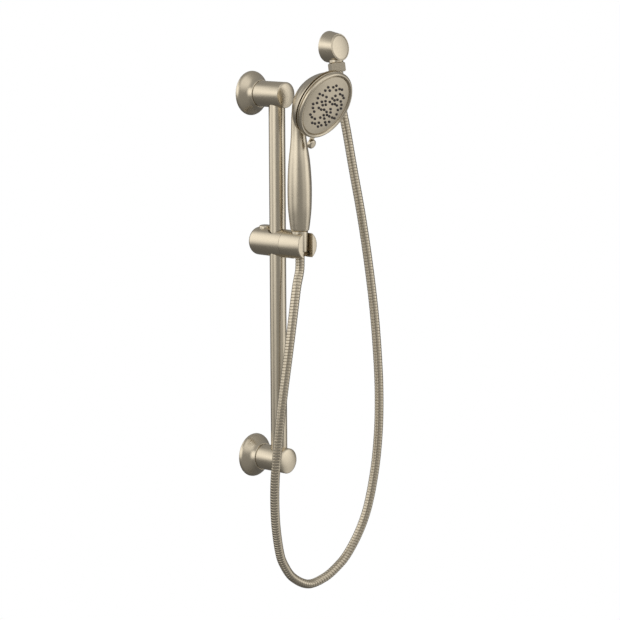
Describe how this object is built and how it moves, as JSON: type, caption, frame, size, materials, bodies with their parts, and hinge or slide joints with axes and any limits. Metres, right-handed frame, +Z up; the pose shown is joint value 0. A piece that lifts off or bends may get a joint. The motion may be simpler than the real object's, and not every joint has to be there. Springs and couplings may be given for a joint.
{
  "type": "hand shower set",
  "caption": "Hand shower with a spray selector, held in a slider on a wall bar, with a flexible metal hose and a wall elbow outlet; satin nickel finish.",
  "frame": {"origin": "centre of the upper wall plate's back face, on the wall plane", "axes": "+Z up along the slide bar, +Y into the wall, -Y out towards the user, +X towards the wall elbow"},
  "size_m": [0.2555, 0.1751, 0.8624],
  "materials": {
    "satin_nickel": "satin nickel plate",
    "nickel_on_plastic": "satin nickel plate on moulded plastic",
    "steel": "plain",
    "brass": "machined",
    "black_rubber": "moulded",
    "white_plastic": "moulded",
    "grey_plastic": "moulded"
  },
  "bodies": {
    "wall_set": {"upper_wall_plate": "steel", "lower_wall_plate": "steel", "upper_escutcheon": "nickel_on_plastic", "lower_escutcheon": "nickel_on_plastic", "upper_post": "nickel_on_plastic", "lower_post": "nickel_on_plastic", "upper_post_grub_screw": "steel", "lower_post_grub_screw": "steel", "slide_bar": "satin_nickel", "wall_elbow": "satin_nickel", "outlet_nipple": "brass", "check_valve": "white_plastic", "wall_hose_washer": "black_rubber", "wall_hose_nut": "satin_nickel", "wall_hose_ferrule": "satin_nickel", "shower_hose": "satin_nickel"},
    "carriage": {"slider_bush_upper": "white_plastic", "slider_bush_lower": "white_plastic"},
    "slider": {"slider_barrel": "nickel_on_plastic", "shoe_spring": "steel", "button_spring": "steel"},
    "shoe": {"brake_shoe": "grey_plastic"},
    "button": {"lock_button": "nickel_on_plastic"},
    "cradle": {"handset_cradle": "nickel_on_plastic", "cradle_pivot_screw": "steel", "cradle_friction_washer": "white_plastic"},
    "handset": {"handset_body": "nickel_on_plastic", "face_bezel": "nickel_on_plastic", "spray_plate": "nickel_on_plastic", "nozzle_mat": "black_rubber", "manifold": "grey_plastic", "manifold_screw": "steel", "detent_ball": "steel", "detent_spring": "steel", "handle_waterway": "grey_plastic", "inlet_nipple": "brass", "flow_restrictor": "white_plastic", "inlet_washer": "black_rubber", "hose_cone_nut": "satin_nickel"},
    "selector": {"selector_ring": "nickel_on_plastic", "diverter_disc": "white_plastic"},
    "hose_end": {"handset_hose_ferrule": "satin_nickel"}
  },
  "joints": [
    {"name": "slider_height", "type": "slide", "parent": "wall_set", "child": "carriage", "axis": [0, 0, 1], "range_m": [-0.29, 0.176], "deforming": ["shower_hose"]},
    {"name": "slider_swivel", "type": "hinge", "parent": "carriage", "child": "slider", "pos_m": [0, -0.054, -0.224], "axis": [0, 0, 1], "range_deg": [-60, 60], "deforming": ["shower_hose"]},
    {"name": "lock_button_press", "type": "slide", "parent": "slider", "child": "button", "axis": [0, 0, -1], "range_m": [0, 0.003], "stiffness_N_per_m": 1500, "springref_m": -0.0015, "deforming": ["button_spring"]},
    {"name": "brake_shoe_draw", "type": "slide", "parent": "slider", "child": "shoe", "axis": [0, 1, 0], "range_m": [0, 0.0012], "deforming": ["shoe_spring"]},
    {"name": "cradle_tilt", "type": "hinge", "parent": "slider", "child": "cradle", "pos_m": [0, -0.075, -0.224], "axis": [0, -1, 0], "range_deg": [-40, 40], "deforming": ["shower_hose"]},
    {"name": "handset_lift_out", "type": "slide", "parent": "cradle", "child": "handset", "axis": [0, 0, 1], "range_m": [0, 0.045], "deforming": ["shower_hose"]},
    {"name": "spray_selector", "type": "hinge", "parent": "handset", "child": "selector", "pos_m": [0, -0.155, -0.0124], "axis": [0, -0.9171, -0.3987], "range_deg": [-35, 35]},
    {"name": "hose_swivel", "type": "hinge", "parent": "handset", "child": "hose_end", "pos_m": [0, -0.0995, -0.23], "axis": [0, 0, 1], "continuous": true}
  ],
  "couplings": [
    {"joint": "brake_shoe_draw", "follows": "lock_button_press", "ratio": 0.4}
  ]
}
